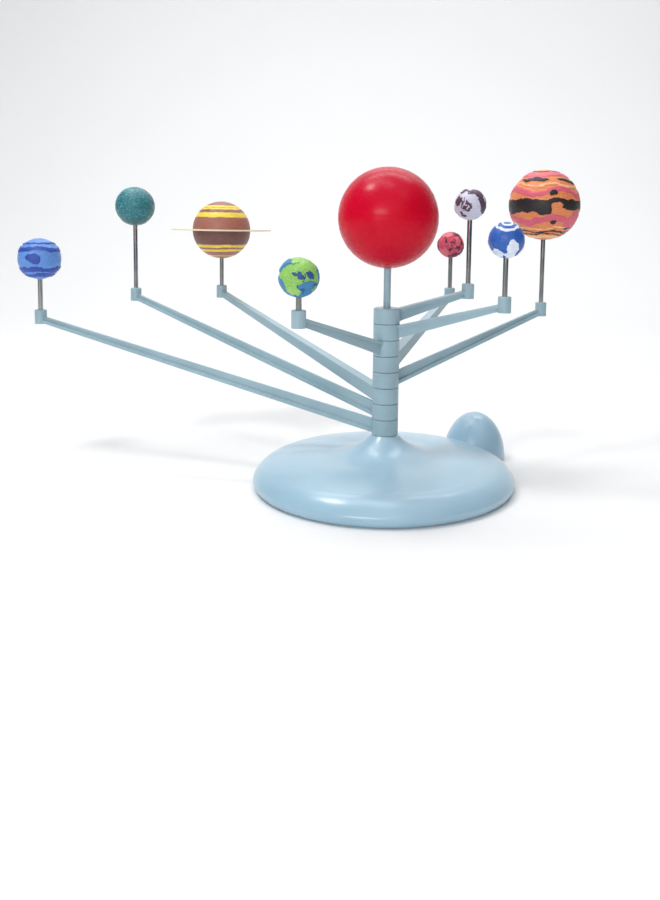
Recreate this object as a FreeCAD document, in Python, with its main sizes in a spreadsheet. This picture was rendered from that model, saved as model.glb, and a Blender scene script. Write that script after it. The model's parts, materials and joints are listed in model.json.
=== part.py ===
import FreeCAD, Part
import math
import os

import Sketcher

# Toy orrery: a round hollow stand, a spindle that carries eight stacked collars, and one planet
# ball on a steel rod at the end of each collar's arm. The Sun sits on top of the spindle.
#
# Frame: millimetres, +Z up, origin on the spindle's axis at the level of the surface that the
# stand rests on. -Y is the front, the side that the stand's small dome is turned away from.

# The stand, the spindle and everything that is the same on all arms: name, size, meaning.
COMMON_SIZES = (
    ("base_radius", 92.1, "widest radius of the saucer"),
    ("base_top", 21.9, "height of the saucer where the flare runs out"),
    ("base_wall", 2.2, "wall of the moulded stand"),
    ("rim_tuck", 3.9, "how far the rim turns in again at its foot"),
    ("top_turn", 11.0, "degrees that the gently domed top falls away before the roll"),
    ("crown_curve", 21.0, "radius of the first part of the roll"),
    ("crown_turn", 62.0, "slope in degrees where the second part of the roll starts"),
    ("edge_curve", 4.4, "radius of the second, tighter part of the roll"),
    ("flare_top", 35.9, "height where the trumpet flare meets the collars"),
    ("flare_foot", 42.0, "radius where the flare runs into the domed top"),
    ("lobe_x", 71.5, "centre of the rear dome"),
    ("lobe_y", 73.5, "centre of the rear dome"),
    ("lobe_radius", 24.4, "rear dome, half its width"),
    ("lobe_rise", 36.0, "rear dome, its height"),
    ("plate_thickness", 2.6, "bottom cover"),
    ("plate_gap", 0.3, "gap between the bottom cover and the rim"),
    ("boss_radius", 8.0, "tube inside the stand that holds the spindle"),
    ("screw_circle", 62.0, "radius of the circle of cover screws"),
    ("screw_post_radius", 3.6, "hollow columns that take the cover screws"),
    ("screw_radius", 1.5, "shank of a cover screw"),
    ("screw_length", 8.0, "shank length of a cover screw"),
    ("screw_head_radius", 2.9, "head of a cover screw"),
    ("screw_head_height", 1.2, "head of a cover screw"),
    ("screw_recess", 0.2, "how far a screw head sits above the resting face"),
    ("screw_hole_gap", 0.2, "radial gap between a screw and its hole in the cover"),
    ("screw_head_gap", 0.3, "radial gap between a screw's head and its recess"),
    ("screw_tip_room", 0.5, "depth of the pilot hole past the screw's tip"),
    ("slot_length", 3.2, "crossed slot in a screw's head"),
    ("slot_width", 0.7, "crossed slot in a screw's head"),
    ("slot_depth", 0.7, "crossed slot in a screw's head"),
    ("overcut", 1.0, "how far a cut starts outside the solid that it cuts"),
    ("fit_gap", 0.03, "radial gap of parts that are pushed together"),
    ("spindle_radius", 5.0, "part of the spindle that the collars turn on"),
    ("spindle_foot_radius", 12.0, "flange that the bottom cover holds up"),
    ("spindle_foot_height", 3.0, "flange that the bottom cover holds up"),
    ("spindle_foot_gap", 1.0, "radial room around the spindle's flange"),
    ("running_gap", 0.08, "radial gap between spindle and collar"),
    ("collar_radius", 9.3, "outside of a collar"),
    ("collar_pitch", 11.25, "distance from one collar to the next"),
    ("collar_gap", 0.25, "air between neighbouring collars"),
    ("collar_edge", 0.3, "rounding of a collar's edges"),
    ("cap_thickness", 2.4, "closed top of the highest collar"),
    ("cap_edge", 1.3, "rounding of the highest collar's top"),
    ("web_thickness", 2.0, "upright web of a flanged arm"),
    ("bar_root_thickness", 8.4, "arm that has no flange, where it leaves its collar"),
    ("bar_thickness", 4.4, "arm that has no flange, at its tip"),
    ("flange_width", 5.6, "flange along an arm"),
    ("flange_height", 2.5, "flange along an arm"),
    ("arm_root", 6.0, "radius where the arm starts inside its collar's wall"),
    ("arm_root_drop", 1.2, "arm's upper edge below its collar's top, at the root"),
    ("arm_root_lift", 0.3, "arm's lower edge above its collar's foot, at the root"),
    ("arm_tip_drop", 5.6, "arm's upper edge below the socket's top, at the tip"),
    ("arm_tip_lift", 0.4, "arm's lower edge above the socket's foot, at the tip"),
    ("socket_radius", 4.5, "socket that holds a planet's rod"),
    ("socket_height", 11.0, "socket that holds a planet's rod"),
    ("socket_edge", 0.9, "rounding of the socket's top edge"),
    ("rod_radius", 1.8, "steel rod"),
    ("rod_in_socket", 8.5, "length of rod inside its socket"),
    ("rod_in_ball", 7.0, "length of rod inside its ball"),
    ("ball_wall", 1.5, "wall of a half ball"),
    ("ball_boss_wall", 1.6, "tube inside a ball that grips the rod"),
    ("ball_boss_spare", 1.0, "how far that tube reaches past the rod's end"),
    ("ring_radius", 42.8, "outside of Saturn's ring"),
    ("ring_thickness", 1.0, "Saturn's ring"),
    ("ring_grip", 0.6, "how far the ring reaches inside the ball's wall"),
    ("sun_ball_radius", 35.0, "the Sun"),
    ("sun_ball_height", 188.3, "height of the Sun's centre"),
    ("sun_rod_radius", 2.55, "plastic rod under the Sun"),
    ("sun_rod_in_spindle", 20.0, "length of the Sun's rod inside the spindle"),
)

# Planets from the lowest and longest arm to the highest and shortest one:
# name, arm reach, compass direction of the arm, height of the socket's top,
# ball radius, height of the ball's centre, place of the arm's flange.
PLANETS = (
    ("neptune", 280.0, 165.5, 112.5, 16.7, 152.3, "bottom"),
    ("uranus", 259.0, 147.1, 125.0, 16.7, 195.2, "bottom"),
    ("saturn", 213.0, 133.3, 127.7, 24.9, 176.0, "none"),
    ("jupiter", 155.0, 36.6, 123.0, 28.4, 201.1, "bottom"),
    ("mars", 130.0, 66.2, 131.5, 11.5, 167.4, "none"),
    ("earth", 100.0, -121.7, 132.3, 12.5, 152.0, "top"),
    ("venus", 83.0, -20.0, 137.6, 12.5, 174.9, "top"),
    ("mercury", 62.0, 20.0, 142.3, 11.8, 198.8, "top"),
)
PLANET_SIZES = ("reach", "azimuth", "socket_top", "ball_radius", "ball_height")
COVER_SCREWS = 4

Vector = FreeCAD.Vector
UP = Vector(0, 0, 1)
# A turn about UP through one degree, which fixes the axis; the sheet then gives the angle.
TURNED_ABOUT_UP = FreeCAD.Placement(Vector(), FreeCAD.Rotation(UP, 1))
SAME_LENGTH = 1e-4
SAME_DIRECTION = 1e-6
LEAST_CUT = 1e-3

doc = FreeCAD.newDocument("orrery")
sheet = doc.addObject("Spreadsheet::Sheet", "Sizes")
pieces = []


def fill_sheet():
    rows = list(COMMON_SIZES)
    for name, *values, flange in PLANETS:
        for size, value in zip(PLANET_SIZES, values):
            rows.append((f"{name}_{size}", value, f"{name}: {size.replace('_', ' ')}"))
    for row, (alias, value, meaning) in enumerate(rows, start=1):
        sheet.set(f"A{row}", meaning)
        sheet.set(f"B{row}", str(value))
        sheet.setAlias(f"B{row}", alias)
    doc.recompute()


def number(expression):
    """The present value of an expression over the sheet's sizes."""
    return float(sheet.evalExpression(expression))


def bind(thing, **expressions):
    """Binds properties to expressions; a double underscore stands for a dot in the property."""
    for name, expression in expressions.items():
        thing.setExpression(name.replace("__", "."), expression)


def piece(thing, label):
    """Names a sub-part and puts it on the list of solids to write."""
    thing.Label = label
    pieces.append(thing)
    return thing


def add_sketch(body, name, role, height=None):
    """A sketch on one of the body's own origin planes, moved along the plane's normal."""
    sketch = body.newObject("Sketcher::SketchObject", name)
    planes = [feature for feature in body.Origin.OriginFeatures if feature.Role == role]
    sketch.AttachmentSupport = [(planes[0], "")]
    sketch.MapMode = "FlatFace"
    if height is not None:
        bind(sketch, AttachmentOffset__Base__z=height)
    return sketch


def arc_centre(start, end, radius, side):
    """Centre of the arc from start to end, on the left or right of the way between them."""
    chord = end - start
    rise = math.sqrt(max(radius ** 2 - (chord.Length / 2) ** 2, 0))
    left = Vector(-chord.y, chord.x, 0).normalize()
    return (start + end) / 2 + left * (rise if side == "left" else -rise)


def draw_outline(sketch, corners, arcs=None):
    """A closed outline. corners are (x, y) expressions; arcs gives, for the side that leaves
    a corner, its radius and whether the arc's centre is left or right of the way along it."""
    arcs = arcs or {}
    points = [Vector(number(x), number(y), 0) for x, y in corners]
    count = len(points)
    ends = []
    for side in range(count):
        start = points[side]
        end = points[(side + 1) % count]
        if side not in arcs:
            sketch.addGeometry(Part.LineSegment(start, end), False)
            ends.append((1, 2))
            continue
        radius, centre_side = arcs[side]
        centre = arc_centre(start, end, number(radius), centre_side)
        first, last = (start, end) if centre_side == "left" else (end, start)
        turns = [math.atan2(point.y - centre.y, point.x - centre.x) for point in (first, last)]
        circle = Part.Circle(centre, UP, (start - centre).Length)
        sketch.addGeometry(Part.ArcOfCircle(circle, turns[0], turns[1]), False)
        ends.append((1, 2) if centre_side == "left" else (2, 1))
    for side in range(count):
        following = (side + 1) % count
        joint = Sketcher.Constraint("Coincident", side, ends[side][1], following, ends[following][0])
        sketch.addConstraint(joint)
    for side, (x, y) in enumerate(corners):
        add_size(sketch, f"across_{side}", "DistanceX", (-1, 1, side, ends[side][0]), x)
        add_size(sketch, f"along_{side}", "DistanceY", (-1, 1, side, ends[side][0]), y)
    for side, (radius, centre_side) in arcs.items():
        add_size(sketch, f"curve_{side}", "Radius", (side,), radius)


def draw_circle(sketch, radius, across="0"):
    """A circle whose centre lies on the sketch's horizontal axis."""
    centre = Vector(number(across), 0, 0)
    index = sketch.addGeometry(Part.Circle(centre, UP, number(radius)), False)
    add_size(sketch, f"radius_{index}", "Radius", (index,), radius)
    add_size(sketch, f"centre_x_{index}", "DistanceX", (-1, 1, index, 3), across)
    add_size(sketch, f"centre_y_{index}", "DistanceY", (-1, 1, index, 3), "0")


def add_size(sketch, name, kind, places, expression):
    """A named sketch dimension that follows an expression."""
    index = sketch.addConstraint(Sketcher.Constraint(kind, *places, number(expression)))
    sketch.renameConstraint(index, name)
    sketch.setExpression(f"Constraints.{name}", expression)


def add_pad(body, sketch, length, both_ways=False):
    pad = body.newObject("PartDesign::Pad", sketch.Name + "_pad")
    pad.Profile = sketch
    if both_ways:
        pad.SideType = "Symmetric"
    bind(pad, Length=length)
    return pad


def add_pocket(body, sketch, length):
    """A pocket that goes down from the sketch, checked to have cut something."""
    doc.recompute()
    volume_before = body.Shape.Volume
    pocket = body.newObject("PartDesign::Pocket", sketch.Name + "_cut")
    pocket.Profile = sketch
    bind(pocket, Length=length)
    doc.recompute()
    if body.Shape.Volume > volume_before - LEAST_CUT:
        raise RuntimeError(f"{body.Label}: {pocket.Name} cuts nothing")
    return pocket


def add_fillet(body, radius, wanted):
    """Rounds the edges of the body's tip that the function wanted picks."""
    doc.recompute()
    tip = body.Tip
    names = [f"Edge{i}" for i, edge in enumerate(tip.Shape.Edges, start=1) if wanted(edge)]
    fillet = body.newObject("PartDesign::Fillet", tip.Name + "_round")
    fillet.Base = (tip, names)
    bind(fillet, Radius=radius)
    return fillet


def revolve(name, corners, arcs=None):
    """A body turned about the Z axis from an outline in the XZ plane."""
    body = doc.addObject("PartDesign::Body", name)
    sketch = add_sketch(body, name + "_profile", "XZ_Plane")
    draw_outline(sketch, corners, arcs)
    turned = body.newObject("PartDesign::Revolution", name + "_turned")
    turned.Profile = sketch
    turned.ReferenceAxis = (sketch, ["V_Axis"])
    turned.Angle = 360
    return body


def cylinder(name, radius, height, foot, x="0", y="0"):
    """An upright cylinder whose foot's centre and sizes follow expressions."""
    solid = doc.addObject("Part::Cylinder", name)
    bind(solid, Radius=radius, Height=height)
    bind(solid, Placement__Base__x=x, Placement__Base__y=y, Placement__Base__z=foot)
    return solid


def fuse(name, solids):
    joined = doc.addObject("Part::MultiFuse", name)
    joined.Shapes = solids
    return joined


def cut(name, base, tool):
    difference = doc.addObject("Part::Cut", name)
    difference.Base = base
    difference.Tool = tool
    return difference


def is_circle(edge, radius, height):
    """True for a circular edge of this radius in the horizontal plane at this height."""
    curve = edge.Curve
    if not isinstance(curve, Part.Circle) or abs(abs(curve.Axis.z) - 1) > SAME_DIRECTION:
        return False
    same_radius = abs(curve.Radius - radius) < SAME_LENGTH
    return same_radius and abs(curve.Center.z - height) < SAME_LENGTH


# ---------------------------------------------------------------- the stand

TOP_TURN = "Sizes.top_turn * 1deg"
CROWN_TURN = "Sizes.crown_turn * 1deg"
TOP_CURVE = ("((Sizes.base_radius - Sizes.flare_foot"
             f" - Sizes.crown_curve * (sin({CROWN_TURN}) - sin({TOP_TURN}))"
             f" - Sizes.edge_curve * (1 - sin({CROWN_TURN}))) / sin({TOP_TURN}))")
ROLL_RADIUS = f"(Sizes.flare_foot + {TOP_CURVE} * sin({TOP_TURN}))"
ROLL_HEIGHT = f"(Sizes.base_top - {TOP_CURVE} * (1 - cos({TOP_TURN})))"
WAIST = (f"({ROLL_HEIGHT} - Sizes.crown_curve * (cos({TOP_TURN}) - cos({CROWN_TURN}))"
         f" - Sizes.edge_curve * cos({CROWN_TURN}))")
FLARE_CURVE = ("((Sizes.flare_foot - Sizes.collar_radius) ^ 2"
               " + (Sizes.flare_top - Sizes.base_top) ^ 2)"
               " / (2 * (Sizes.flare_top - Sizes.base_top))")
BELOW = "-Sizes.overcut"
SHANK_FOOT = "(Sizes.screw_recess + Sizes.screw_head_height)"
SCREW_TIP = f"({SHANK_FOOT} + Sizes.screw_length)"


def saucer_profile(wall):
    """Half section of the saucer from its foot up the rim and in to the flare, moved inwards
    by wall: corners and arcs."""
    edge = f"(Sizes.edge_curve - {wall})"
    crown = f"(Sizes.crown_curve - {wall})"
    edge_centre = "(Sizes.base_radius - Sizes.edge_curve)"
    corners = [
        (f"Sizes.base_radius - {wall}", WAIST),
        (f"{edge_centre} + {edge} * sin({CROWN_TURN})", f"{WAIST} + {edge} * cos({CROWN_TURN})"),
        (f"{ROLL_RADIUS} - {wall} * sin({TOP_TURN})", f"{ROLL_HEIGHT} - {wall} * cos({TOP_TURN})"),
        ("Sizes.flare_foot", f"Sizes.base_top - {wall}"),
    ]
    arcs = [
        (edge, "left"),
        (crown, "left"),
        (f"({TOP_CURVE} - {wall})", "left"),
        (f"{FLARE_CURVE} + {wall}", "right"),
    ]
    return corners, arcs


def numbered(arcs, first):
    return {first + step: arc for step, arc in enumerate(arcs) if arc}


def make_saucer():
    """The solid saucer with its trumpet flare."""
    corners, arcs = saucer_profile("0")
    foot_curve = f"(({WAIST}) ^ 2 + Sizes.rim_tuck ^ 2) / (2 * Sizes.rim_tuck)"
    outline = [("0", "0"), ("Sizes.base_radius - Sizes.rim_tuck", "0")] + corners
    outline += [("Sizes.collar_radius", "Sizes.flare_top"), ("0", "Sizes.flare_top")]
    return revolve("saucer", outline, numbered([(foot_curve, "left")] + arcs, 1))


def make_saucer_cavity():
    """The space inside the saucer's wall, around the tube that holds the spindle."""
    corners, arcs = saucer_profile("Sizes.base_wall")
    flare = f"({FLARE_CURVE} + Sizes.base_wall)"
    roof = (f"Sizes.base_top + {FLARE_CURVE}"
            f" - sqrt({flare} ^ 2 - (Sizes.flare_foot - Sizes.boss_radius) ^ 2)")
    foot = "Sizes.base_radius - Sizes.rim_tuck - Sizes.base_wall"
    outline = [("Sizes.boss_radius", BELOW), (foot, BELOW)] + corners
    outline += [("Sizes.boss_radius", roof)]
    return revolve("saucer_cavity", outline, numbered([None] + arcs, 1))


def make_dome(name, wall):
    """The upper half of the egg-shaped rear dome, made smaller all round by wall."""
    dome = doc.addObject("Part::Ellipsoid", name)
    dome.Angle1 = 0
    bind(dome, Radius1=f"Sizes.lobe_rise - {wall}", Radius2=f"Sizes.lobe_radius - {wall}")
    bind(dome, Placement__Base__x="Sizes.lobe_x", Placement__Base__y="Sizes.lobe_y")
    return dome


def screw_places():
    """Centres of the cover screws, as expressions."""
    for index in range(COVER_SCREWS):
        angle = f"{(index + 0.5) * 360 / COVER_SCREWS} * 1deg"
        yield f"Sizes.screw_circle * cos({angle})", f"Sizes.screw_circle * sin({angle})"


def make_base_shell():
    outside = fuse("stand_outside", [make_saucer(), make_dome("dome", "0")])
    cavity = fuse("stand_cavity", [make_saucer_cavity(), make_dome("dome_cavity", "Sizes.base_wall")])
    shell = cut("stand_shell", outside, cavity)
    column_foot = "Sizes.plate_thickness"
    column_edge = "(Sizes.screw_circle + Sizes.screw_post_radius - Sizes.flare_foot)"
    roof = f"(Sizes.base_top - {TOP_CURVE} + sqrt({TOP_CURVE} ^ 2 - {column_edge} ^ 2))"
    column_height = f"{roof} - Sizes.base_wall / 2 - Sizes.plate_thickness"
    columns = []
    holes = []
    for index, (x, y) in enumerate(screw_places()):
        columns.append(cylinder(f"column_{index}", "Sizes.screw_post_radius", column_height,
                                column_foot, x, y))
        holes.append(cylinder(f"pilot_{index}", "Sizes.screw_radius + Sizes.fit_gap",
                              f"{SCREW_TIP} + Sizes.screw_tip_room - {column_foot}",
                              column_foot, x, y))
    foot_top = "Sizes.plate_thickness + Sizes.spindle_foot_height"
    holes.append(cylinder("spindle_bore", "Sizes.spindle_radius + Sizes.fit_gap",
                          "Sizes.flare_top + 2 * Sizes.overcut", BELOW))
    holes.append(cylinder("spindle_foot_room",
                          "Sizes.spindle_foot_radius + Sizes.spindle_foot_gap",
                          f"{foot_top} + Sizes.overcut", BELOW))
    with_columns = fuse("stand_with_columns", [shell] + columns)
    return piece(cut("base_shell", with_columns, fuse("stand_holes", holes)), "base_shell")


def make_base_plate():
    disc = cylinder("plate_disc", "Sizes.base_radius - Sizes.rim_tuck - Sizes.base_wall"
                    " - Sizes.plate_gap", "Sizes.plate_thickness", "0")
    lobe = cylinder("plate_lobe", "Sizes.lobe_radius - Sizes.base_wall - 2 * Sizes.plate_gap",
                    "Sizes.plate_thickness", "0", "Sizes.lobe_x", "Sizes.lobe_y")
    holes = []
    for index, (x, y) in enumerate(screw_places()):
        holes.append(cylinder(f"plate_hole_{index}", "Sizes.screw_radius + Sizes.screw_hole_gap",
                              "Sizes.plate_thickness + 2 * Sizes.overcut", BELOW, x, y))
        holes.append(cylinder(f"plate_counterbore_{index}",
                              "Sizes.screw_head_radius + Sizes.screw_head_gap",
                              f"Sizes.overcut + {SHANK_FOOT}", BELOW, x, y))
    blank = fuse("plate_blank", [disc, lobe])
    return piece(cut("base_plate", blank, fuse("plate_holes", holes)), "base_plate")


def make_base_screws():
    """The cover screws, heads down, each with a crossed slot."""
    screws = []
    for index, (x, y) in enumerate(screw_places()):
        head = cylinder(f"head_{index}", "Sizes.screw_head_radius", "Sizes.screw_head_height",
                        "Sizes.screw_recess", x, y)
        shank = cylinder(f"shank_{index}", "Sizes.screw_radius", "Sizes.screw_length",
                         SHANK_FOOT, x, y)
        slots = []
        long_side, short_side = "Sizes.slot_length", "Sizes.slot_width"
        for turn, (length, width) in enumerate(((long_side, short_side), (short_side, long_side))):
            slot = doc.addObject("Part::Box", f"slot_{index}_{turn}")
            bind(slot, Length=length, Width=width, Height="Sizes.screw_recess + Sizes.slot_depth")
            bind(slot, Placement__Base__x=f"{x} - {length} / 2")
            bind(slot, Placement__Base__y=f"{y} - {width} / 2")
            slots.append(slot)
        blank = fuse(f"screw_blank_{index}", [head, shank])
        screws.append(cut(f"screw_{index}", blank, fuse(f"screw_slots_{index}", slots)))
    group = doc.addObject("Part::Compound", "base_screws")
    group.Links = screws
    return piece(group, "base_screws")


# ---------------------------------------------------------------- spindle and Sun's rod

STACK_TOP = f"(Sizes.flare_top + {len(PLANETS)} * Sizes.collar_pitch)"
SPINDLE_TOP = f"({STACK_TOP} - Sizes.cap_thickness - Sizes.collar_gap)"
SUN_ROD_FOOT = f"({SPINDLE_TOP} - Sizes.sun_rod_in_spindle)"


def make_spindle():
    foot = "Sizes.plate_thickness"
    foot_top = f"{foot} + Sizes.spindle_foot_height"
    bore = "Sizes.sun_rod_radius + Sizes.fit_gap"
    corners = [
        ("0", foot),
        ("Sizes.spindle_foot_radius", foot),
        ("Sizes.spindle_foot_radius", foot_top),
        ("Sizes.spindle_radius", foot_top),
        ("Sizes.spindle_radius", SPINDLE_TOP),
        (bore, SPINDLE_TOP),
        (bore, SUN_ROD_FOOT),
        ("0", SUN_ROD_FOOT),
    ]
    return piece(revolve("spindle", corners), "spindle")


def make_sun_rod():
    top = "Sizes.sun_ball_height - Sizes.sun_ball_radius + Sizes.rod_in_ball"
    rod = cylinder("sun_rod", "Sizes.sun_rod_radius", f"{top} - {SUN_ROD_FOOT}", SUN_ROD_FOOT)
    return piece(rod, "sun_rod")


# ---------------------------------------------------------------- balls

def make_half_balls(name, rod_radius, seam="0"):
    """Upper and lower half of a hollow ball about the origin, each seam away from the
    middle plane. The lower half has a hole and an inner tube for the rod."""
    outer = f"Sizes.{name}_ball_radius"
    inner = f"({outer} - Sizes.ball_wall)"
    rim_outer = f"sqrt({outer} ^ 2 - ({seam}) ^ 2)"
    rim_inner = f"sqrt({inner} ^ 2 - ({seam}) ^ 2)"
    upper = revolve(f"{name}_upper_shell",
                    [(rim_outer, seam), ("0", outer), ("0", inner), (rim_inner, seam)],
                    {0: (outer, "left"), 2: (inner, "right")})
    bore = f"({rod_radius} + Sizes.fit_gap)"
    boss = f"({rod_radius} + Sizes.ball_boss_wall)"
    boss_top = f"-{outer} + Sizes.rod_in_ball + Sizes.ball_boss_spare"
    lower = revolve(f"{name}_lower_shell",
                    [(bore, f"-sqrt({outer} ^ 2 - {bore} ^ 2)"), (rim_outer, f"-({seam})"),
                     (rim_inner, f"-({seam})"), (boss, f"-sqrt({inner} ^ 2 - {boss} ^ 2)"),
                     (boss, boss_top), (bore, boss_top)],
                    {0: (outer, "left"), 2: (inner, "right")})
    piece(upper, f"{name}_upper_shell")
    piece(lower, f"{name}_lower_shell")
    return [upper, lower]


def place_on_arm(name, things):
    """Puts bodies at the end of a planet's arm, turned to the arm's direction."""
    angle = f"Sizes.{name}_azimuth"
    for thing in things:
        thing.Placement = TURNED_ABOUT_UP
        bind(thing, Placement__Rotation__Angle=angle)
        bind(thing, Placement__Base__x=f"Sizes.{name}_reach * cos({angle} * 1deg)")
        bind(thing, Placement__Base__y=f"Sizes.{name}_reach * sin({angle} * 1deg)")
        bind(thing, Placement__Base__z=f"Sizes.{name}_ball_height")


def make_sun():
    for half in make_half_balls("sun", "Sizes.sun_rod_radius"):
        bind(half, Placement__Base__z="Sizes.sun_ball_height")


def make_ring():
    """Saturn's flat ring, gripped between the two half balls."""
    body = doc.addObject("PartDesign::Body", "saturn_ring")
    sketch = add_sketch(body, "ring_outline", "XY_Plane")
    draw_circle(sketch, "Sizes.ring_radius")
    draw_circle(sketch, "Sizes.saturn_ball_radius - Sizes.ball_wall - Sizes.ring_grip")
    add_pad(body, sketch, "Sizes.ring_thickness", both_ways=True)
    return piece(body, "saturn_ring")


# ---------------------------------------------------------------- arms and rods

def arm_outline(name, collar_foot):
    """Side view of an arm: its upper and lower edge at the root and at the tip."""
    root = "Sizes.arm_root"
    tip = f"Sizes.{name}_reach"
    edge = f"({tip} - Sizes.socket_radius)"
    top = f"Sizes.{name}_socket_top"
    root_top = f"({collar_foot} + Sizes.collar_pitch - Sizes.collar_gap - Sizes.arm_root_drop)"
    root_foot = f"({collar_foot} + Sizes.arm_root_lift)"
    edge_top = f"({top} - Sizes.arm_tip_drop)"
    edge_foot = f"({top} - Sizes.socket_height + Sizes.arm_tip_lift)"
    stretch = f"(({tip} - {root}) / ({edge} - {root}))"
    tip_top = f"({root_top} + ({edge_top} - {root_top}) * {stretch})"
    tip_foot = f"({root_foot} + ({edge_foot} - {root_foot}) * {stretch})"
    return root, tip, root_foot, root_top, tip_foot, tip_top


def narrow_bar(body, name, foot):
    """Cuts both sides of a bar so that, seen from above, it tapers from collar to socket."""
    start = "Sizes.collar_radius"
    end = f"(Sizes.{name}_reach + Sizes.overcut)"
    for side, sign in (("left", ""), ("right", "-")):
        near = f"{sign}(Sizes.bar_root_thickness / 2)"
        far = f"{sign}(Sizes.bar_thickness / 2)"
        beyond = f"{sign}(Sizes.bar_root_thickness / 2 + Sizes.overcut)"
        wedge = add_sketch(body, f"{name}_{side}_side", "XY_Plane", f"Sizes.{name}_socket_top")
        draw_outline(wedge, [(start, near), (end, far), (end, beyond), (start, beyond)])
        add_pocket(body, wedge, f"Sizes.{name}_socket_top - {foot}")


def make_arm(name, level, flange):
    """One moulding: the collar that turns on the spindle, the tapering arm and the socket.
    It is drawn along +X and then turned to its direction."""
    is_top = level == len(PLANETS) - 1
    foot = f"(Sizes.flare_top + Sizes.collar_gap + {level} * Sizes.collar_pitch)"
    height = "(Sizes.collar_pitch - Sizes.collar_gap)"
    socket_top = f"Sizes.{name}_socket_top"
    body = doc.addObject("PartDesign::Body", f"{name}_arm")

    collar = add_sketch(body, f"{name}_collar", "XY_Plane", foot)
    draw_circle(collar, "Sizes.collar_radius")
    add_pad(body, collar, height)
    rim = number("Sizes.collar_radius")
    collar_top = number(f"{foot} + {height}")
    add_fillet(body, "Sizes.cap_edge" if is_top else "Sizes.collar_edge",
               lambda edge: is_circle(edge, rim, collar_top))
    add_fillet(body, "Sizes.collar_edge", lambda edge: is_circle(edge, rim, number(foot)))

    root, tip, root_foot, root_top, tip_foot, tip_top = arm_outline(name, foot)
    web = add_sketch(body, f"{name}_web", "XZ_Plane")
    draw_outline(web, [(root, root_foot), (tip, tip_foot), (tip, tip_top), (root, root_top)])
    thickness = "Sizes.bar_root_thickness" if flange == "none" else "Sizes.web_thickness"
    add_pad(body, web, thickness, both_ways=True)

    if flange == "none":
        narrow_bar(body, name, foot)
    else:
        at_root, at_tip = (root_foot, tip_foot) if flange == "bottom" else (root_top, tip_top)
        inward = "Sizes.flange_height" if flange == "bottom" else "(-Sizes.flange_height)"
        strip = add_sketch(body, f"{name}_flange", "XZ_Plane")
        draw_outline(strip, [(root, at_root), (tip, at_tip),
                             (tip, f"{at_tip} + {inward}"), (root, f"{at_root} + {inward}")])
        add_pad(body, strip, "Sizes.flange_width", both_ways=True)

    socket = add_sketch(body, f"{name}_socket", "XY_Plane", f"{socket_top} - Sizes.socket_height")
    draw_circle(socket, "Sizes.socket_radius", f"Sizes.{name}_reach")
    add_pad(body, socket, "Sizes.socket_height")
    top = number(socket_top)
    add_fillet(body, "Sizes.socket_edge",
               lambda edge: is_circle(edge, number("Sizes.socket_radius"), top))

    hole = add_sketch(body, f"{name}_rod_hole", "XY_Plane", socket_top)
    draw_circle(hole, "Sizes.rod_radius + Sizes.fit_gap", f"Sizes.{name}_reach")
    add_pocket(body, hole, "Sizes.rod_in_socket")

    bore_top = f"{foot} + {height}"
    if is_top:
        through = add_sketch(body, f"{name}_sun_rod_hole", "XY_Plane", bore_top)
        draw_circle(through, "Sizes.sun_rod_radius + 2 * Sizes.running_gap")
        add_pocket(body, through, height)
        bore_top += " - Sizes.cap_thickness"
    bore = add_sketch(body, f"{name}_bore", "XY_Plane", bore_top)
    draw_circle(bore, "Sizes.spindle_radius + Sizes.running_gap")
    add_pocket(body, bore, height)

    body.Placement = TURNED_ABOUT_UP
    bind(body, Placement__Rotation__Angle=f"Sizes.{name}_azimuth")
    return piece(body, f"{name}_arm")


def make_rod(name):
    """A steel rod from inside the socket to inside the ball."""
    foot = f"(Sizes.{name}_socket_top - Sizes.rod_in_socket)"
    top = f"(Sizes.{name}_ball_height - Sizes.{name}_ball_radius + Sizes.rod_in_ball)"
    angle = f"Sizes.{name}_azimuth * 1deg"
    rod = cylinder(f"{name}_rod", "Sizes.rod_radius", f"{top} - {foot}", foot,
                   f"Sizes.{name}_reach * cos({angle})", f"Sizes.{name}_reach * sin({angle})")
    return piece(rod, f"{name}_rod")


def make_planet(level, name, flange):
    make_arm(name, level, flange)
    make_rod(name)
    if name == "saturn":
        halves = make_half_balls(name, "Sizes.rod_radius", "Sizes.ring_thickness / 2")
        place_on_arm(name, halves + [make_ring()])
    else:
        place_on_arm(name, make_half_balls(name, "Sizes.rod_radius"))


# ---------------------------------------------------------------- build, check and write

def check_document():
    for thing in doc.Objects:
        if "Invalid" in thing.State or "Error" in thing.State:
            raise RuntimeError(f"{thing.Name} failed: {thing.State}")
    for thing in pieces:
        if thing.Shape.isNull() or not thing.Shape.isValid():
            raise RuntimeError(f"{thing.Label} has no valid shape")
        if any(solid.Volume <= 0 for solid in thing.Shape.Solids) or not thing.Shape.Solids:
            raise RuntimeError(f"{thing.Label} holds no solid")


fill_sheet()
make_base_shell()
make_base_plate()
make_base_screws()
make_spindle()
make_sun_rod()
make_sun()
for planet_level, (planet_name, *sizes, flange_place) in enumerate(PLANETS):
    make_planet(planet_level, planet_name, flange_place)
doc.recompute()
check_document()

os.makedirs("parts", exist_ok=True)
for thing in pieces:
    thing.Shape.exportStep(f"parts/{thing.Label}.step")
    solids = len(thing.Shape.Solids)
    print(f"{thing.Label}: {solids} solid(s), {thing.Shape.Volume / 1000:.2f} cm3")
print(f"{len(pieces)} nodes written")
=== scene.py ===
import json
import math

import bmesh
import bpy
from mathutils import Euler, Matrix, Vector, noise


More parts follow.
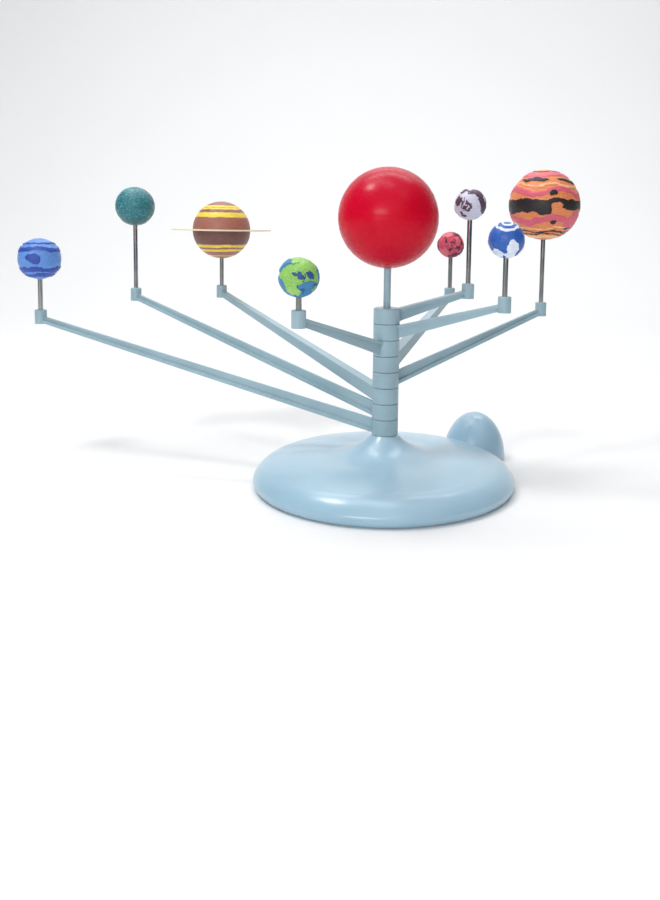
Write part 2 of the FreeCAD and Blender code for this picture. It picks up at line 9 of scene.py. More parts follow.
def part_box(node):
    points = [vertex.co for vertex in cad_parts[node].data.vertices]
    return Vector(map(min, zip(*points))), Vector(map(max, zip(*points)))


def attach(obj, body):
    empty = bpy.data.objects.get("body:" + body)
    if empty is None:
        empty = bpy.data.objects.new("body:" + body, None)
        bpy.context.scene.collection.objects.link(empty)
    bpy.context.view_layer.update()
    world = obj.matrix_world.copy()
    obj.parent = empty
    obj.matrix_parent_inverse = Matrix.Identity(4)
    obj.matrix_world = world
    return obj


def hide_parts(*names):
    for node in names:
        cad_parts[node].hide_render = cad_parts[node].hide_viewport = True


# Looks of the toy orrery. The balls are built here, with their moulded relief and hand-painted
# patterns, and with painted shade on the Sun's top and bottom; every other piece keeps its
# imported shape and gets a procedural material.
# Everything is in metres, in the frame of the imported model: -Y is the front, +Z is up.

MM = 0.001

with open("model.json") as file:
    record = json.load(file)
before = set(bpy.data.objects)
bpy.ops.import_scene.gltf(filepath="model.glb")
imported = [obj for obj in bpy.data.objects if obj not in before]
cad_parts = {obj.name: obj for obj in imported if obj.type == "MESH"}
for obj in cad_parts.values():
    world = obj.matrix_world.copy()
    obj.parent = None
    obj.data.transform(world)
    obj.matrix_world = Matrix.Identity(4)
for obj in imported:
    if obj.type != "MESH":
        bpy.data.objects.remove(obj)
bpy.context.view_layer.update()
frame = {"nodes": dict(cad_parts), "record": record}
record = frame["record"]
nodes = frame["nodes"]


# ---------------------------------------------------------------- colours and node helpers

def srgb(red, green, blue):
    """Linear RGBA of a colour given as 0 to 255 display values."""
    def linear(value):
        share = value / 255
        return share / 12.92 if share <= 0.04045 else ((share + 0.055) / 1.055) ** 2.4
    return (linear(red), linear(green), linear(blue), 1.0)


class Shader:
    """A material's node tree, with short calls for the nodes used here."""

    def __init__(self, name):
        self.material = bpy.data.materials.new(name)
        self.material.use_nodes = True
        self.tree = self.material.node_tree
        self.surface = self.tree.nodes["Principled BSDF"]
        self.place = self.add("ShaderNodeTexCoord").outputs["Object"]

    def add(self, kind):
        return self.tree.nodes.new(kind)

    def link(self, source, target):
        self.tree.links.new(source, target)

    def feed(self, socket, value):
        """Sets a socket to a constant, or links it to another node's output."""
        if isinstance(value, bpy.types.NodeSocket):
            self.link(value, socket)
        else:
            socket.default_value = value

    def noise(self, scale, detail=3.0, stretch=(1, 1, 1)):
        """Noise between about 0.3 and 0.7; scale is in lumps for each metre."""
        mapping = self.add("ShaderNodeMapping")
        mapping.inputs["Scale"].default_value = stretch
        self.link(self.place, mapping.inputs["Vector"])
        texture = self.add("ShaderNodeTexNoise")
        texture.inputs["Scale"].default_value = scale
        texture.inputs["Detail"].default_value = detail
        self.link(mapping.outputs["Vector"], texture.inputs["Vector"])
        return texture.outputs["Fac"]

    def spread(self, value, low, high, out_low=0.0, out_high=1.0):
        """Maps low..high to out_low..out_high and holds it there beyond the ends."""
        ranged = self.add("ShaderNodeMapRange")
        ranged.inputs["From Min"].default_value = low
        ranged.inputs["From Max"].default_value = high
        ranged.inputs["To Min"].default_value = out_low
        ranged.inputs["To Max"].default_value = out_high
        self.link(value, ranged.inputs["Value"])
        return ranged.outputs["Result"]

    def sum(self, first, second, share):
        """first + second * share"""
        combined = self.add("ShaderNodeMath")
        combined.operation = "MULTIPLY_ADD"
        self.feed(combined.inputs[0], second)
        self.feed(combined.inputs[1], share)
        self.feed(combined.inputs[2], first)
        return combined.outputs["Value"]

    def mix(self, share, under, over):
        blend = self.add("ShaderNodeMix")
        blend.data_type = "RGBA"
        self.feed(blend.inputs["Factor"], share)
        self.feed(blend.inputs["A"], under)
        self.feed(blend.inputs["B"], over)
        return blend.outputs["Result"]

    def bump(self, height, depth, under=None):
        """Adds a bump of that depth in metres, on top of an earlier one."""
        bumped = self.add("ShaderNodeBump")
        bumped.inputs["Distance"].default_value = depth
        self.link(height, bumped.inputs["Height"])
        if under is not None:
            self.link(under, bumped.inputs["Normal"])
        return bumped.outputs["Normal"]

    def attribute(self, name):
        stored = self.add("ShaderNodeAttribute")
        stored.attribute_name = name
        return stored.outputs["Fac"]

    def finish(self, color, roughness, normal, **constants):
        self.feed(self.surface.inputs["Base Color"], color)
        self.feed(self.surface.inputs["Roughness"], roughness)
        self.link(normal, self.surface.inputs["Normal"])
        for name, value in constants.items():
            self.surface.inputs[name.replace("_", " ")].default_value = value
        return self.material


# ---------------------------------------------------------------- moulded plastic and steel
#
# Lumps are for each metre. Most of a noise's values lie between NOISE_LOW and NOISE_HIGH.

NOISE_LOW = 0.35
NOISE_HIGH = 0.65
NOISE_MIDDLE = 0.5

CLOUD_LUMPS = 18
FLOW_LUMPS = 60
FLOW_STRETCH = (1, 1, 4)
FLOW_SHARE = 0.25
GLOSS_LUMPS = 220
PEEL_LUMPS = 420
PEEL_DEPTH = 0.012 * MM
SCUFF_LUMPS = 900
SCUFF_STRETCH = (1, 0.4, 1)
SCUFF_DEPTH = 0.003 * MM


def moulded_plastic(name, pale, deep, smooth, rough, coat, coat_rough=0.12):
    """Moulded plastic: cloudy pigment, fine orange peel, and gloss that varies a little."""
    shader = Shader(name)
    clouds = shader.spread(shader.noise(CLOUD_LUMPS, detail=4), NOISE_LOW, NOISE_HIGH)
    flow = shader.noise(FLOW_LUMPS, detail=5, stretch=FLOW_STRETCH)
    color = shader.mix(shader.sum(clouds, flow, FLOW_SHARE), deep, pale)
    gloss = shader.noise(GLOSS_LUMPS, detail=4)
    roughness = shader.spread(gloss, NOISE_LOW, NOISE_HIGH, smooth, rough)
    peel = shader.bump(shader.noise(PEEL_LUMPS, detail=2), PEEL_DEPTH)
    scratches = shader.noise(SCUFF_LUMPS, detail=2, stretch=SCUFF_STRETCH)
    scuffs = shader.bump(scratches, SCUFF_DEPTH, peel)
    return shader.finish(color, roughness, scuffs, Coat_Weight=coat,
                         Coat_Roughness=coat_rough)


LINE_LUMPS = 2400
LINE_LOW = 0.3
LINE_HIGH = 0.7
LINE_DEPTH = 0.006 * MM
STEEL_PATCH_LUMPS = 90
STEEL_DARK = srgb(146, 147, 149)
STEEL_PALE = srgb(172, 172, 172)


def drawn_steel(name, stretch, smooth, rough):
    """Polished steel with fine drawing lines along the stretched direction."""
    shader = Shader(name)
    lines = shader.noise(LINE_LUMPS, detail=4, stretch=stretch)
    patches = shader.spread(shader.noise(STEEL_PATCH_LUMPS), NOISE_LOW, NOISE_HIGH)
    color = shader.mix(patches, STEEL_DARK, STEEL_PALE)
    roughness = shader.spread(lines, LINE_LOW, LINE_HIGH, smooth, rough)
    return shader.finish(color, roughness, shader.bump(lines, LINE_DEPTH), Metallic=1.0)


RING_BANDS = 420
RING_BAND_LOW = 0.4
RING_BAND_HIGH = 0.6
RING_BAND_DEPTH = 0.04 * MM
RING_GLOSS_LUMPS = 500
RING_SMOOTH = 0.42
RING_ROUGH = 0.58
RING_DEEP = srgb(220, 208, 172)
RING_PALE = srgb(244, 239, 222)


def ring_plastic(name):
    """Saturn's ring: cream with faint circular bands."""
    shader = Shader(name)
    lengths = shader.add("ShaderNodeVectorMath")
    lengths.operation = "LENGTH"
    offset = shader.add("ShaderNodeVectorMath")
    offset.operation = "SUBTRACT"
    shader.link(shader.place, offset.inputs[0])
    offset.inputs[1].default_value = ball_centre("saturn")
    shader.link(offset.outputs["Vector"], lengths.inputs[0])
    bands = shader.add("ShaderNodeTexNoise")
    bands.noise_dimensions = "1D"
    bands.inputs["Scale"].default_value = RING_BANDS
    shader.link(lengths.outputs["Value"], bands.inputs["W"])
    share = shader.spread(bands.outputs["Fac"], RING_BAND_LOW, RING_BAND_HIGH)
    color = shader.mix(share, RING_DEEP, RING_PALE)
    gloss = shader.noise(RING_GLOSS_LUMPS)
    roughness = shader.spread(gloss, NOISE_LOW, NOISE_HIGH, RING_SMOOTH, RING_ROUGH)
    return shader.finish(color, roughness, shader.bump(share, RING_BAND_DEPTH))


# ---------------------------------------------------------------- patterns of paint
#
# A pattern is a list of layers from the bottom up. A layer has a colour and the shapes that it
# covers. A shape gives a value above 0 inside and below 0 outside at a place on the ball, given
# by its longitude and latitude in degrees; longitude 0 faces the front and grows to the right.

def band(low, high, wave=0.0, waves=4, start=0.0, west=-180, east=180):
    """A stripe between two latitudes that may wave, and may cover only some longitudes."""
    middle = (low + high) / 2
    half = (high - low) / 2

    def value(longitude, latitude):
        swing = wave * math.sin(math.radians(longitude * waves + start))
        inside = 1 - abs(latitude - middle - swing) / half
        ends = min(longitude - west, east - longitude) / half
        whole_turn = west <= -180 and east >= 180
        return inside if whole_turn else min(inside, ends)
    return value


def spot(longitude, latitude, width, height, tilt=0.0):
    """An oval patch with half its width and height in degrees, turned by tilt."""
    turn = math.radians(tilt)

    def value(at_longitude, at_latitude):
        across = (at_longitude - longitude + 180) % 360 - 180
        across *= math.cos(math.radians((latitude + at_latitude) / 2))
        up = at_latitude - latitude
        along = across * math.cos(turn) + up * math.sin(turn)
        beside = up * math.cos(turn) - across * math.sin(turn)
        return 1 - math.hypot(along / width, beside / height)
    return value


def loop(longitude, latitude, inner, outer):
    """A ring around a place, between two distances from it in degrees."""
    middle = direction_of(longitude, latitude)

    def value(at_longitude, at_latitude):
        away = math.degrees(middle.angle(direction_of(at_longitude, at_latitude)))
        return 1 - abs(away - (inner + outer) / 2) / ((outer - inner) / 2)
    return value


def direction_of(longitude, latitude):
    turn = math.radians(longitude)
    rise = math.radians(latitude)
    level = math.cos(rise)
    return Vector((math.sin(turn) * level, -math.cos(turn) * level, math.sin(rise)))


# A ball's style. "base" is the colour of its ground, and "relief" is how far the ground lies
# below the paint. "wobble" is how unevenly painted edges run, in degrees. "grain" is the depth of
# the fine grain in metres, and "grain_lumps" how close it is. "flecks" is the colour of dots on
# the ground, "edge" how soft the painted edges are, "streaks" how strongly the brush shows, and
# "gloss" the lowest and highest roughness.
PLAIN_STYLE = {
    "grain_lumps": 900, "edge": 0.03, "streaks": 1.0, "gloss": (0.36, 0.52), "specular": 0.42,
}
PLANETS = {
    "mercury": {
        "base": srgb(214, 213, 232), "relief": 0.8 * MM, "wobble": 13, "grain": 0.00022,
        "layers": [
            (srgb(88, 66, 86), [
                spot(24, 50, 46, 17, -22), spot(50, 24, 26, 17, -40), spot(54, -10, 20, 26, 12),
                spot(-56, 12, 13, 17), spot(-34, 4, 6, 19, -16), spot(-12, 0, 7, 19, 10),
                spot(-22, -18, 11, 6), spot(-42, -36, 15, 7, -35), spot(-30, 58, 22, 8, 30),
                spot(130, 20, 42, 30), spot(-140, -24, 46, 26), spot(180, 50, 30, 20)]),
            (srgb(234, 233, 244), [spot(-8, 60, 12, 8), spot(66, 26, 9, 8)]),
        ]},
    "venus": {
        "base": srgb(50, 98, 184), "relief": 0.6 * MM, "wobble": 4.5, "grain": 0.00016,
        "gloss": (0.26, 0.42),
        "layers": [
            (srgb(230, 238, 252), [
                loop(-2, 66, 29, 38), loop(-2, 68, 12, 19), spot(16, -26, 20, 28, 10),
                spot(8, -58, 24, 18), spot(-50, -46, 22, 17), spot(74, -40, 12, 20),
                spot(150, -30, 40, 26), spot(-125, -8, 30, 12)]),
            (srgb(40, 82, 168), [spot(42, -40, 5, 12), spot(-20, -62, 6, 9, 20)]),
        ]},
    "earth": {
        "base": srgb(146, 202, 96), "relief": 1.0 * MM, "wobble": 9, "grain": 0.0003,
        "flecks": srgb(176, 216, 150),
        "layers": [
            (srgb(62, 134, 186), [
                band(-94, -42, 7, 3), spot(-68, 38, 30, 22, 28), spot(-70, -24, 24, 26),
                spot(34, -26, 26, 17), spot(88, -8, 13, 40), spot(150, 4, 52, 44),
                spot(-140, -6, 34, 50)]),
            (srgb(46, 88, 140), [
                spot(0, 10, 12, 6, -40), spot(10, 2, 9, 7), spot(44, 12, 13, 6),
                spot(46, 3, 12, 9, 20), spot(24, 4, 2.6, 10), spot(-34, 40, 30, 2.4, 12),
                spot(14, -34, 2.6, 18, 40), spot(58, -24, 2.6, 16, -40)]),
            (srgb(160, 212, 108), [
                spot(8, -50, 8, 14), spot(-18, -42, 20, 14), spot(140, -18, 16, 20)]),
        ]},
    "mars": {
        "base": srgb(222, 80, 110), "relief": 0.8 * MM, "wobble": 13, "grain": 0.00036,
        "flecks": srgb(238, 132, 146),
        "layers": [
            (srgb(242, 116, 132), [
                spot(38, 16, 24, 18), spot(-30, 44, 30, 14), spot(-40, -30, 26, 16)]),
            (srgb(92, 42, 58), [
                spot(-28, 24, 6, 12, 20), spot(-24, 12, 8, 5), spot(8, 12, 5, 13),
                spot(-6, -14, 11, 10, 20), spot(30, -10, 13, 8, -14),
                spot(52, 14, 7, 17, 14), spot(34, 52, 18, 8, -30), spot(34, -48, 30, 9, 12),
                spot(66, -22, 9, 22), spot(58, -38, 12, 8), spot(-82, -4, 9, 30),
                spot(-2, -58, 16, 6), spot(140, 20, 22, 12), spot(-150, -24, 26, 12),
                spot(170, -40, 16, 9), spot(110, -10, 10, 20)]),
        ]},
    "jupiter": {
        "base": srgb(232, 138, 84), "relief": 0.8 * MM, "wobble": 3.5, "grain": 0.00026,
        "flecks": srgb(236, 158, 120),
        "layers": [
            (srgb(224, 98, 120), [
                band(50, 64, 3, 3), band(16, 25, 5, 4, 20), band(-32, -20, 5, 4, 80),
                spot(58, -30, 26, 20), spot(-150, 0, 30, 10)]),
            (srgb(250, 190, 140), [band(30, 33, 3, 5, 60), band(-43, -40, 2, 5), band(-68, -58)]),
            (srgb(38, 32, 34), [
                band(67, 71, 1.5, 3), spot(-36, 43, 27, 4.5), spot(50, 41, 25, 4.5, -14),
                spot(4, 18, 5, 4.5), band(-14, 8, 1.5, 6, 0, -175, 0),
                band(1, 8, 1.5, 7, 0, -10, 178), spot(46, -1, 27, 9), spot(88, 0, 16, 12),
                spot(8, -29, 5.5, 4.5),
                band(-50, -47, 2, 5, 40), band(-56, -53, 1.5, 4, 100), spot(46, -42, 10, 2.5, 12)]),
        ]},
    "saturn": {
        "base": srgb(166, 108, 96), "relief": 0.14 * MM, "wobble": 1.5, "grain": 0.00008,
        "layers": [
            (srgb(122, 82, 76), [band(-29, -3)]),
            (srgb(240, 216, 78), [
                band(46, 58), band(26, 37), band(-37, -31), band(-48, -42), band(-66, -62)]),
            (srgb(122, 74, 62), [band(40, 42), band(50, 51.5)]),
        ]},
    "uranus": {
        "base": srgb(42, 116, 126), "relief": 0.4 * MM, "wobble": 10, "grain": 0.0009,
        "grain_lumps": 620, "flecks": srgb(128, 190, 198),
        "edge": 0.7, "streaks": 0.6, "gloss": (0.22, 0.36),
        "layers": [
            (srgb(36, 96, 102), [spot(20, -58, 60, 18), spot(160, -20, 40, 30)]),
            (srgb(84, 158, 164), [spot(-24, 56, 20, 10), spot(-150, 30, 30, 20)]),
        ]},
    "neptune": {
        "base": srgb(100, 150, 224), "relief": 1.0 * MM, "wobble": 4, "grain": 0.00026,
        "flecks": srgb(124, 164, 230),
        "layers": [
            (srgb(48, 78, 172), [
                band(23, 35, 3, 3, 40), band(46, 51, 2, 2), spot(4, 4, 20, 12, -6),
                spot(12, -3, 14, 9), band(-38, -23, 2.5, 3, 100), band(-57, -44, 2, 4),
                spot(160, -2, 30, 12)]),
            (srgb(140, 182, 238), [band(-42, -40, 2, 3)]),
        ]},
    "sun": {
        "base": srgb(206, 8, 41), "relief": 0.14 * MM, "wobble": 8, "grain": 0.00005,
        "edge": 0.8, "streaks": 0.08, "gloss": (0.24, 0.3), "specular": 0.16,
        "layers": [
            # Painted shade: a deeper red over the Sun's top, which dims the light falling there.
            (srgb(186, 12, 48), [band(30, 92, 5, 3)]),
            # Painted shade: a deeper red over the Sun's underside, where shade falls.
            (srgb(192, 8, 38), [band(-92, -34, 5, 3, 60)])]},
}
# A shape's value where a layer covers nothing, and the value over which paint rises to full.
NO_PAINT = -1.0
PAINT_EDGE = 0.10

# Noise on a ball, in lumps for each radius. The wobble adds up three sizes of lump, each given by
# its strength and how many times closer it is than the largest.
WOBBLE_LUMPS = 3.2
WOBBLE_PARTS = ((1.0, 1.0), (0.55, 2.7), (0.3, 6.1))
WOBBLE_OFFSETS = (Vector((7, 0, 0)), Vector((0, 11, 0)), Vector((0, 0, 5)))
GROUND_LUMPS = 9.0
GROUND_SHARE = 0.35


def ragged_noise(place):
    """Large lumps with smaller ones on them, from about -1 to 1."""
    return sum(share * noise.noise(place * scale) for share, scale in WOBBLE_PARTS)


def wobbled(direction, amount):
    """The direction pushed about by noise, so that painted edges run unevenly."""
    place = direction * WOBBLE_LUMPS
    push = Vector([ragged_noise(place + offset) for offset in WOBBLE_OFFSETS])
    return (direction + push * amount).normalized()


def layer_value(shapes, longitude, latitude):
    return max([shape(longitude, latitude) for shape in shapes] + [NO_PAINT])


def ball_centre(name):
    """Middle of a ball's outside. The upper half gives it, as the rod's hole trims the lower."""
    low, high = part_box(f"{name}_upper_shell")
    return Vector(((low.x + high.x) / 2, (low.y + high.y) / 2, high.z - ball_radius(name)))


def ball_radius(name):
    low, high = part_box(f"{name}_upper_shell")
    return (high.x - low.x) / 2


# ---------------------------------------------------------------- balls

TURN_STEPS = 144
OUTER_ROWS = 52
INNER_ROWS = 10
BALL_WALL = 1.5 * MM
ROD_GAP = 0.03 * MM
BOSS_WALL = 1.6 * MM
BOSS_DEPTH = 8.0 * MM
SEAM_WIDTH = 1.2
SEAM_DEPTH = 0.06 * MM
SHARP_EDGE = 50
POLE_RADIUS = 1e-7


def half_profile(radius, seam, bore):
    """Points (radius, height, is outside) of a half ball's section. bore is the radius of the
    hole in its pole, or 0 for a closed half. The half ball's rim lies at the height seam."""
    inner = radius - BALL_WALL
    first = math.asin(seam / radius)
    last = math.acos(bore / radius)
    points = []
    for row in range(OUTER_ROWS + 1):
        turn = first + (last - first) * row / OUTER_ROWS
        points.append((radius * math.cos(turn), radius * math.sin(turn), True))
    inner_end = math.pi / 2
    if bore:
        boss = bore + BOSS_WALL
        boss_top = radius - BOSS_DEPTH
        points.append((bore, boss_top, False))
        points.append((boss, boss_top, False))
        inner_end = math.acos(boss / inner)
    inner_start = math.asin(seam / inner)
    for row in range(INNER_ROWS + 1):
        turn = inner_end + (inner_start - inner_end) * row / INNER_ROWS
        points.append((inner * math.cos(turn), inner * math.sin(turn), False))
    return points


def surface_depth(point, style, values, seam_share):
    """How far a point of the outside lies below the ball's full radius."""
    raised = 0.0
    for value in values:
        step = min(max((value / PAINT_EDGE + 1) / 2, 0), 1)
        raised = max(raised, step * step * (3 - 2 * step))
    ground = 0.5 + 0.5 * noise.noise(point * GROUND_LUMPS)
    depth = style["relief"] * ((1 - GROUND_SHARE) * (1 - raised) + GROUND_SHARE * ground)
    return depth + SEAM_DEPTH * seam_share


def make_half_ball(name, is_upper, bore, seam):
    """One painted half of a ball, which stands for its packed half shell."""
    style = PLANETS[name]
    half = "upper" if is_upper else "lower"
    side = 1 if is_upper else -1
    radius = ball_radius(name)
    mesh = bpy.data.meshes.new(f"{name}_{half}_half")
    builder = bmesh.new()
    layers = [builder.verts.layers.float.new(f"paint_{index}")
              for index in range(len(style["layers"]))]
    profile = half_profile(radius, seam, bore)
    rings = []
    for across, height, is_outside in profile:
        steps = TURN_STEPS if across > POLE_RADIUS else 1
        ring = []
        for step in range(steps):
            turn = 2 * math.pi * step / TURN_STEPS
            place = Vector((across * math.cos(turn), across * math.sin(turn), side * height))
            direction = place.normalized()
            moved = wobbled(direction, math.radians(style["wobble"]))
            longitude = math.degrees(math.atan2(moved.x, -moved.y))
            latitude = math.degrees(math.asin(max(-1, min(1, moved.z))))
            values = [layer_value(shapes, longitude, latitude) for _, shapes in style["layers"]]
            if is_outside:
                above_seam = math.degrees(math.asin(min(1, height / radius)))
                seam_share = max(0, 1 - above_seam / SEAM_WIDTH)
                place -= direction * surface_depth(direction, style, values, seam_share)
            vertex = builder.verts.new(place)
            for layer, value in zip(layers, values):
                vertex[layer] = value
            ring.append(vertex)
        rings.append(ring)
    join_rings(builder, rings)
    bmesh.ops.recalc_face_normals(builder, faces=builder.faces)
    builder.to_mesh(mesh)
    builder.free()
    mesh.shade_smooth()
    mesh.set_sharp_from_angle(angle=math.radians(SHARP_EDGE))
    ball = bpy.data.objects.new(f"{name}_{half}_ball", mesh)
    bpy.context.scene.collection.objects.link(ball)
    ball.location = ball_centre(name)
    mesh.materials.append(paint_of(name))
    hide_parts(f"{name}_{half}_shell")
    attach(ball, "stand" if name == "sun" else name)


def join_rings(builder, rings):
    """Faces between neighbouring rings, and from the last ring back to the first. A ring of one
    vertex is a pole."""
    for one, other in zip(rings, rings[1:] + rings[:1]):
        if len(one) == 1 and len(other) == 1:
            continue
        for step in range(TURN_STEPS):
            after = (step + 1) % TURN_STEPS
            if len(one) == 1:
                corners = (one[0], other[step], other[after])
            elif len(other) == 1:
                corners = (one[step], one[after], other[0])
            else:
                corners = (one[step], one[after], other[after], other[step])
            builder.faces.new(corners)


BRUSH_LUMPS = 520
BRUSH_STRETCH = (0.35, 0.35, 1.6)
BRUSH_DEPTH = 0.04 * MM
STREAK_DIMMING = 0.16
RAGGED_SHARE = 0.16
FLECK_LUMPS = 800
FLECK_LOW = 0.54
FLECK_HIGH = 0.68
FLECK_STRENGTH = 0.7
PAINT_GLOSS_LUMPS = 340


def paint_of(name):
    """The painted surface of a ball, made once for both halves."""
    label = f"{name}_hand_paint"
    if label in bpy.data.materials:
        return bpy.data.materials[label]
    style = {**PLAIN_STYLE, **PLANETS[name]}
    shader = Shader(label)
    edge = style["edge"]
    between_strokes = 1 - STREAK_DIMMING * style["streaks"]
    brush = shader.noise(BRUSH_LUMPS, detail=4, stretch=BRUSH_STRETCH)
    ragged = shader.sum(brush, -NOISE_MIDDLE, 1.0)
    streaky = shader.spread(brush, NOISE_LOW, NOISE_HIGH)
    color = shader.mix(streaky, dimmed(style["base"], between_strokes), style["base"])
    if "flecks" in style:
        dots = shader.noise(FLECK_LUMPS, detail=4)
        shares = shader.spread(dots, FLECK_LOW, FLECK_HIGH, 0.0, FLECK_STRENGTH)
        color = shader.mix(shares, color, style["flecks"])
    for index, (paint, _) in enumerate(style["layers"]):
        value = shader.sum(shader.attribute(f"paint_{index}"), ragged, RAGGED_SHARE)
        tone = shader.mix(streaky, dimmed(paint, between_strokes), paint)
        color = shader.mix(shader.spread(value, -edge, edge), color, tone)
    smooth, rough = style["gloss"]
    gloss = shader.noise(PAINT_GLOSS_LUMPS)
    roughness = shader.spread(gloss, NOISE_LOW, NOISE_HIGH, smooth, rough)
    strokes = shader.bump(brush, BRUSH_DEPTH * style["streaks"])
    grain = shader.bump(shader.noise(style["grain_lumps"]), style["grain"], strokes)
    return shader.finish(color, roughness, grain, Specular_IOR_Level=style["specular"])


def dimmed(color, share):
    return tuple(channel * share for channel in color[:3]) + (1.0,)


def make_balls():
    for name in PLANETS:
        rod = "sun_rod" if name == "sun" else f"{name}_rod"
        low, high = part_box(rod)
        bore = (high.x - low.x) / 2 + ROD_GAP
        seam_low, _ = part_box(f"{name}_upper_shell")
        seam = max(seam_low.z - ball_centre(name).z, 0)
        make_half_ball(name, True, 0, seam)
        make_half_ball(name, False, bore, seam)


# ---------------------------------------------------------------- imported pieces

def dress_packed_pieces():
    """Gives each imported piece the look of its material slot. The stand's roughness stays at 0.30
    or more, because small dark dashes were seen on it in renders with a lower value."""
    looks = {
        "stand_plastic": moulded_plastic(
            "stand_gloss", pale=srgb(160, 193, 212), deep=srgb(150, 184, 203),
            smooth=0.30, rough=0.34, coat=0.45, coat_rough=0.22),
        "arm_plastic": moulded_plastic(
            "arm_satin", pale=srgb(154, 182, 193), deep=srgb(142, 170, 181),
            smooth=0.34, rough=0.46, coat=0.35),
        "cover_plastic": moulded_plastic(
            "cover_matt", pale=srgb(150, 176, 190), deep=srgb(138, 163, 177),
            smooth=0.5, rough=0.64, coat=0.0),
        "rod_steel": drawn_steel("rod_polished", stretch=(1, 1, 0.03), smooth=0.05, rough=0.11),
        "screw_steel": drawn_steel("screw_plated", stretch=(1, 0.1, 1), smooth=0.24, rough=0.4),
        "ring_paint": ring_plastic("ring_cream"),
    }
    for subpart in record["subparts"]:
        look = looks.get(subpart["material_slot"])
        if look is None:
            continue
        piece = nodes[subpart["node"]]
        piece.data.materials.clear()
        piece.data.materials.append(look)


# ---------------------------------------------------------------- floor, light and camera

FLOOR_WIDTH = 6.0
FLOOR_FRONT = -3.0
FLOOR_BACK = 1.6
BACKDROP_HEIGHT = 3.0
FLOOR_CURVE = 0.8
CURVE_STEPS = 16
FLOOR_LUMPS = 3
FLOOR_ROUGHNESS = 0.8
FLOOR_GRAIN_LUMPS = 40
FLOOR_GRAIN = 0.1 * MM


def make_stage():
    """A pale floor that curves up into a backdrop."""
    curve_start = FLOOR_BACK - FLOOR_CURVE
    line = [(FLOOR_FRONT, 0.0), (curve_start, 0.0)]
    for step in range(1, CURVE_STEPS + 1):
        turn = math.pi / 2 * step / CURVE_STEPS
        back = curve_start + FLOOR_CURVE * math.sin(turn)
        line.append((back, FLOOR_CURVE * (1 - math.cos(turn))))
    line.append((FLOOR_BACK, BACKDROP_HEIGHT))
    builder = bmesh.new()
    sides = (-FLOOR_WIDTH / 2, FLOOR_WIDTH / 2)
    rows = [[builder.verts.new((x, y, z)) for x in sides] for y, z in line]
    for one, other in zip(rows, rows[1:]):
        builder.faces.new((one[0], one[1], other[1], other[0]))
    mesh = bpy.data.meshes.new("floor")
    builder.to_mesh(mesh)
    builder.free()
    mesh.shade_smooth()
    floor = bpy.data.objects.new("floor", mesh)
    bpy.context.scene.collection.objects.link(floor)
    shader = Shader("pale_floor")
    tone = shader.mix(shader.noise(FLOOR_LUMPS), srgb(231, 232, 233), srgb(235, 236, 237))
    grain = shader.bump(shader.noise(FLOOR_GRAIN_LUMPS), FLOOR_GRAIN)
    mesh.materials.append(shader.finish(tone, FLOOR_ROUGHNESS, grain))


TOY_MIDDLE = (0.0, 0.0, 0.12)
BACKDROP_MIDDLE = (0.0, 1.6, 0.3)


def add_softbox(name, place, size, power, target=TOY_MIDDLE):
    """A soft rectangular light that faces the target; power is in watts."""
    light = bpy.data.lights.new(name, "AREA")
    light.shape = "RECTANGLE"
    light.size, light.size_y = size
    light.energy = power
    lamp = bpy.data.objects.new(name, light)
    bpy.context.scene.collection.objects.link(lamp)
    lamp.location = place
    lamp.rotation_euler = (Vector(target) - Vector(place)).to_track_quat("-Z", "Y").to_euler()


# The room's light falls from OPEN_SKY to DARK_SIDES towards its left and right, which darkens the
# edges of the steel rods. The fall lies between two sideways parts of a direction.
OPEN_SKY = 0.62
DARK_SIDES = 0.05
FALL_START = 0.45
FALL_END = 0.75


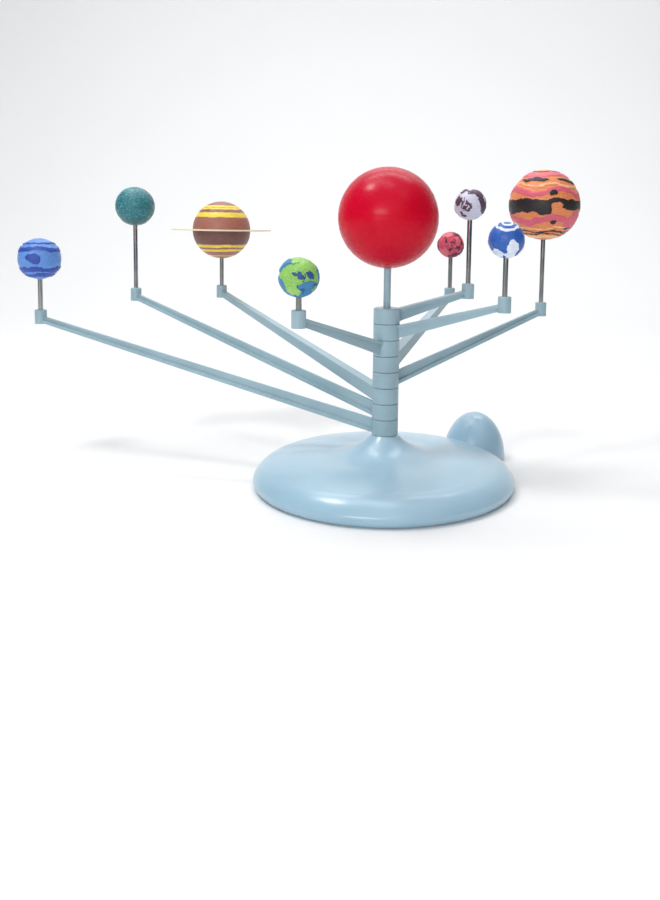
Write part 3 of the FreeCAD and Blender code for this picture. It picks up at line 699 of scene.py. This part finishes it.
def light_stage():
    """The room's light and the soft lights around the toy."""
    world = bpy.data.worlds.new("studio")
    world.use_nodes = True
    tree = world.node_tree
    background = tree.nodes["Background"]
    background.inputs["Color"].default_value = (1.0, 1.0, 1.0, 1.0)
    toward = tree.nodes.new("ShaderNodeTexCoord")
    parts = tree.nodes.new("ShaderNodeSeparateXYZ")
    tree.links.new(toward.outputs["Generated"], parts.inputs["Vector"])
    sideways = tree.nodes.new("ShaderNodeMath")
    sideways.operation = "ABSOLUTE"
    tree.links.new(parts.outputs["X"], sideways.inputs[0])
    falloff = tree.nodes.new("ShaderNodeMapRange")
    falloff.inputs["From Min"].default_value = FALL_START
    falloff.inputs["From Max"].default_value = FALL_END
    falloff.inputs["To Min"].default_value = OPEN_SKY
    falloff.inputs["To Max"].default_value = DARK_SIDES
    tree.links.new(sideways.outputs["Value"], falloff.inputs["Value"])
    tree.links.new(falloff.outputs["Result"], background.inputs["Strength"])
    bpy.context.scene.world = world
    add_softbox("key", (-0.55, -0.1, 1.08), size=(0.22, 0.22), power=4.2)
    add_softbox("fill", (0.48, -0.42, 1.0), size=(0.3, 0.3), power=0.25)
    add_softbox("front", (0.0, -1.6, 0.9), size=(1.6, 0.6), power=1.1)
    add_softbox("low", (-0.36, -1.2, 0.46), size=(0.6, 0.05), power=3.6)
    add_softbox("top", (-0.15, -0.15, 1.5), size=(1.0, 0.35), power=3.8)
    add_softbox("rear", (0.2, 1.0, 1.2), size=(1.2, 0.5), power=1.5)
    add_softbox("strip", (-0.5, -1.2, 0.22), size=(0.12, 0.9), power=0.9)
    add_softbox("backdrop", (0.0, 0.9, 2.2), size=(2.4, 0.4), power=24.0,
                target=BACKDROP_MIDDLE)


CAMERA_PLACE = (0.0, -0.580, 0.185)
LOOK_DOWN = 5.5
LEAN = 1.0
LENS = 33.4
SENSOR = 36.0
SHIFT_X = -0.0633
SHIFT_Y = -0.1634


def make_camera():
    """The camera stands in front of the stand, a little above its middle, and looks down."""
    camera = bpy.data.cameras.new("camera")
    camera.lens = LENS
    camera.sensor_width = SENSOR
    camera.shift_x = SHIFT_X
    camera.shift_y = SHIFT_Y
    eye = bpy.data.objects.new("camera", camera)
    bpy.context.scene.collection.objects.link(eye)
    look_down = Euler((math.radians(90 - LOOK_DOWN), 0, 0)).to_matrix().to_4x4()
    lean = Matrix.Rotation(math.radians(LEAN), 4, "Z")
    eye.matrix_world = Matrix.Translation(CAMERA_PLACE) @ look_down @ lean
    bpy.context.scene.camera = eye


dress_packed_pieces()
make_balls()
make_stage()
light_stage()
make_camera()
bpy.context.scene.view_settings.view_transform = "Standard"
